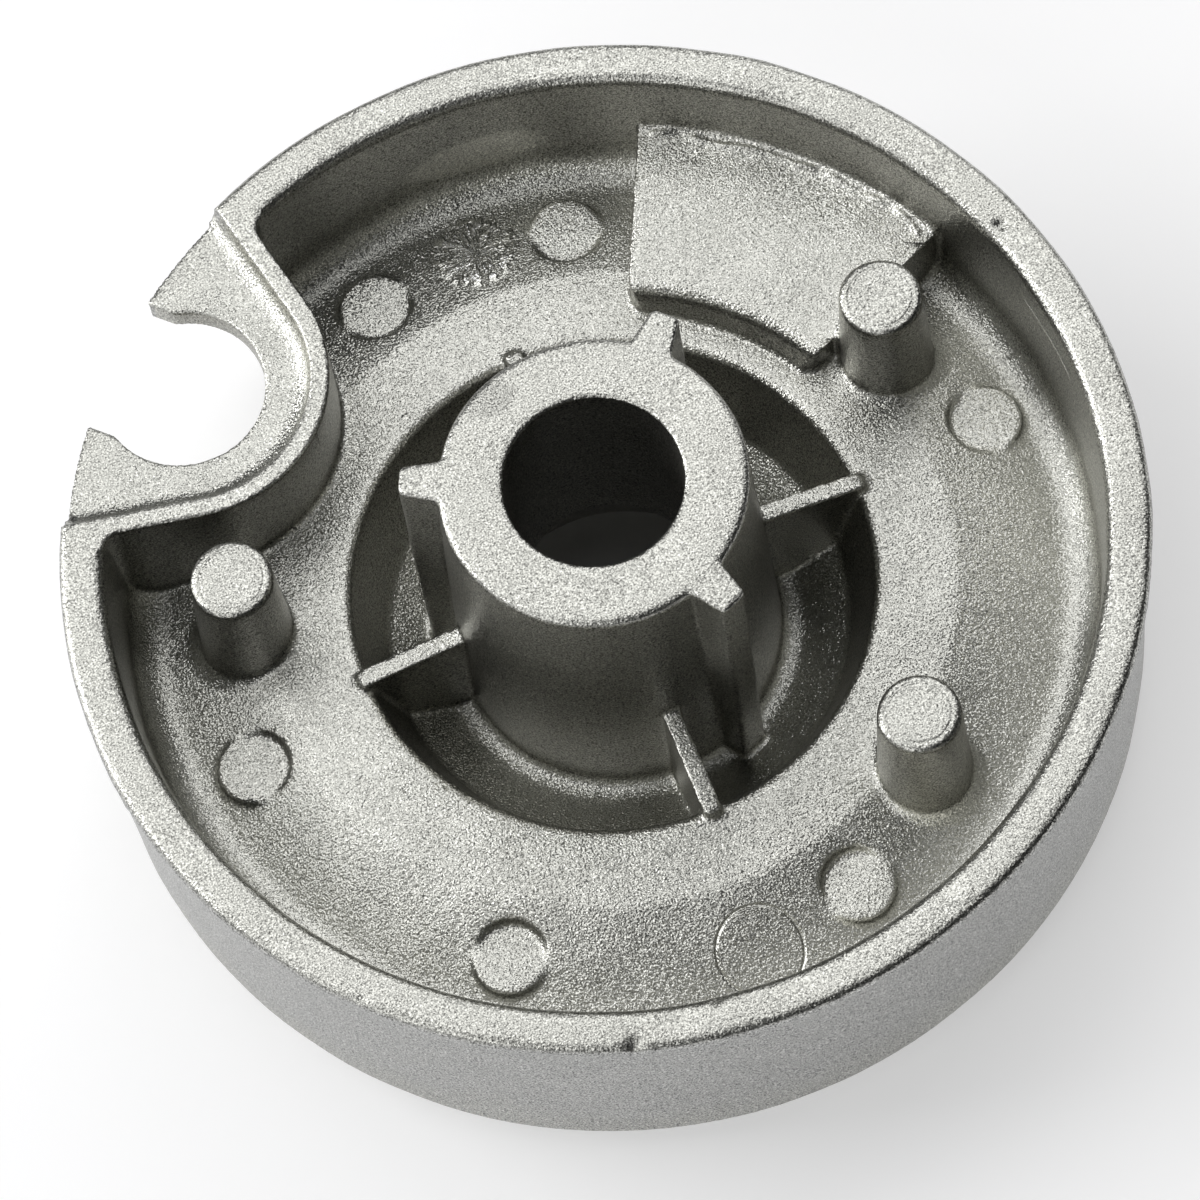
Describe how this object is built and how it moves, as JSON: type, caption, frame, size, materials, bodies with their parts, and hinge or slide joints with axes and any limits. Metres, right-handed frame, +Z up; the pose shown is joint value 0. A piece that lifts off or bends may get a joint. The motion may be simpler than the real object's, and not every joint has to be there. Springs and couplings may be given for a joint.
{
  "type": "gas burner head",
  "caption": "Round die-cast gas burner head, upside down, with a keyed inlet hub, locating pegs, an igniter notch and a crown of flame ports.",
  "frame": {"origin": "centre of the circle that the crown's tips stand on, on the head's axis", "axes": "+Z up the head's axis from the flame side to the hub's open end, with the igniter notch between -X and +Y and the raised pad between +X and +Y"},
  "size_m": [0.076, 0.076, 0.0325],
  "materials": {
    "cast_aluminium": "shot-blasted"
  },
  "bodies": {
    "root": {"burner_head": "cast_aluminium"}
  },
  "joints": []
}
